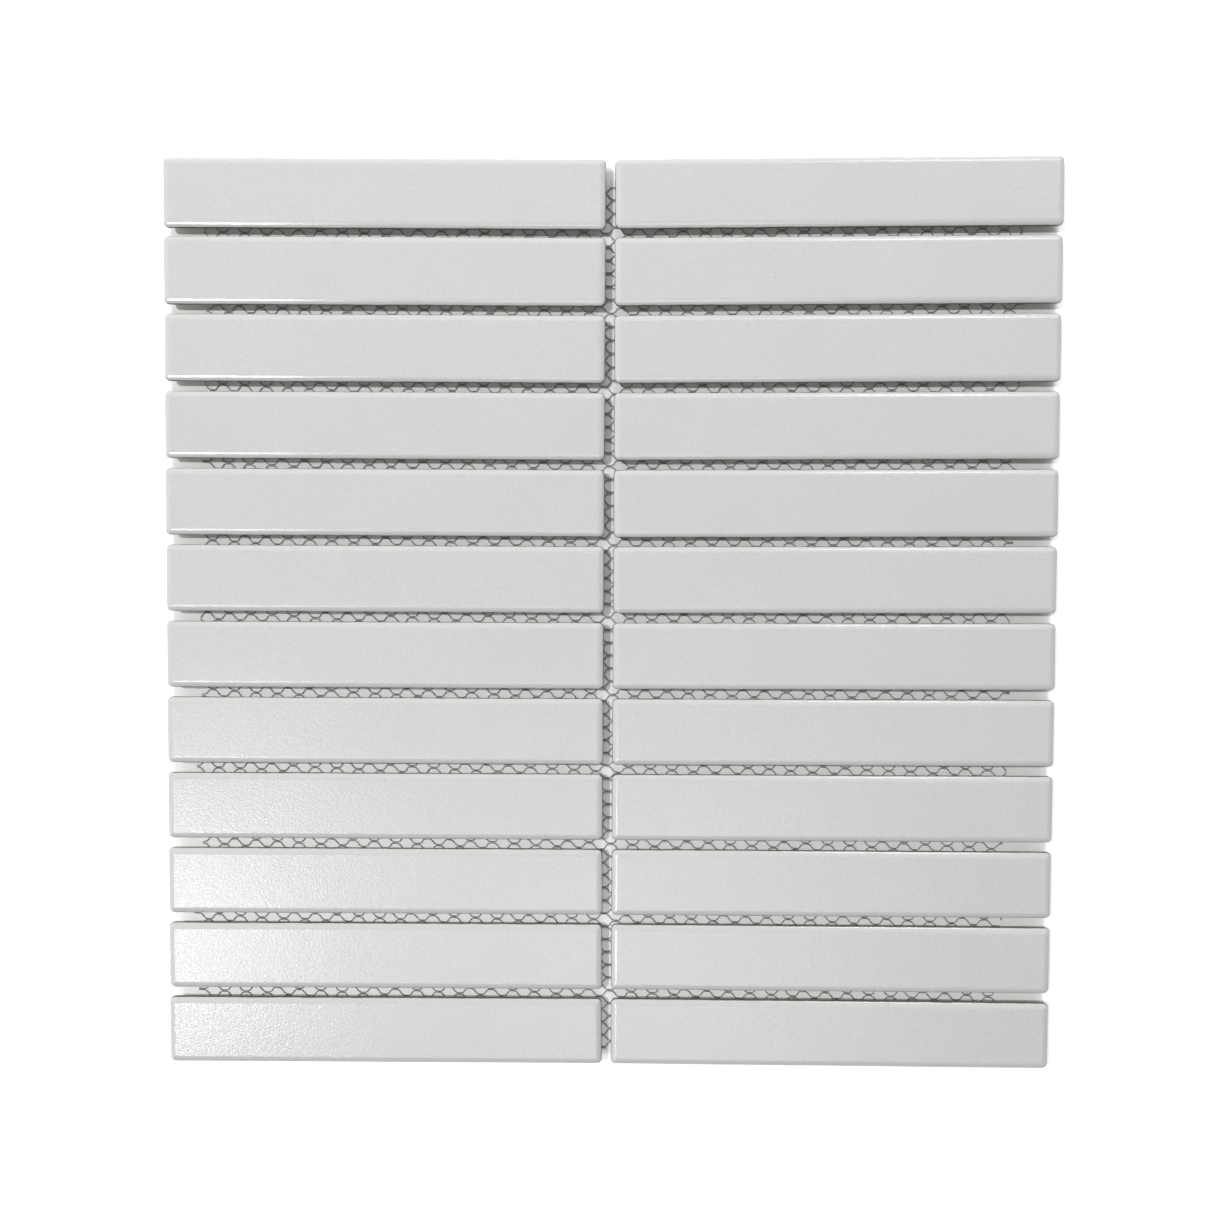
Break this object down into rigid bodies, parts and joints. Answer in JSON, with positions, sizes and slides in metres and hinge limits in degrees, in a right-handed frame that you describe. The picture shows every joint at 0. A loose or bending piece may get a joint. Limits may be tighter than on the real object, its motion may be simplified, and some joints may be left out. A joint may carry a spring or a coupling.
{
  "type": "finger mosaic tile sheet",
  "caption": "Mosaic sheet of slim white glazed finger tiles in two columns, held at an even joint by a thin knitted net bonded under their backs.",
  "frame": {"origin": "middle of the sheet, in the plane that the underside of the net lies on", "axes": "+X along the tiles towards the right column, +Y up the sheet towards the top row, +Z out of the glazed faces"},
  "size_m": [0.2932, 0.3002, 0.0065],
  "materials": {
    "tile_glaze": "satin",
    "net_yarn": "matte"
  },
  "bodies": {
    "root": {"net_backing_1": "net_yarn", "net_backing_2": "net_yarn", "net_backing_3": "net_yarn", "net_backing_4": "net_yarn", "tile_left_01": "tile_glaze", "tile_left_02": "tile_glaze", "tile_left_03": "tile_glaze", "tile_left_04": "tile_glaze", "tile_left_05": "tile_glaze", "tile_left_06": "tile_glaze", "tile_left_07": "tile_glaze", "tile_left_08": "tile_glaze", "tile_left_09": "tile_glaze", "tile_left_10": "tile_glaze", "tile_left_11": "tile_glaze", "tile_left_12": "tile_glaze", "tile_right_01": "tile_glaze", "tile_right_02": "tile_glaze", "tile_right_03": "tile_glaze", "tile_right_04": "tile_glaze", "tile_right_05": "tile_glaze", "tile_right_06": "tile_glaze", "tile_right_07": "tile_glaze", "tile_right_08": "tile_glaze", "tile_right_09": "tile_glaze", "tile_right_10": "tile_glaze", "tile_right_11": "tile_glaze", "tile_right_12": "tile_glaze"}
  },
  "joints": []
}
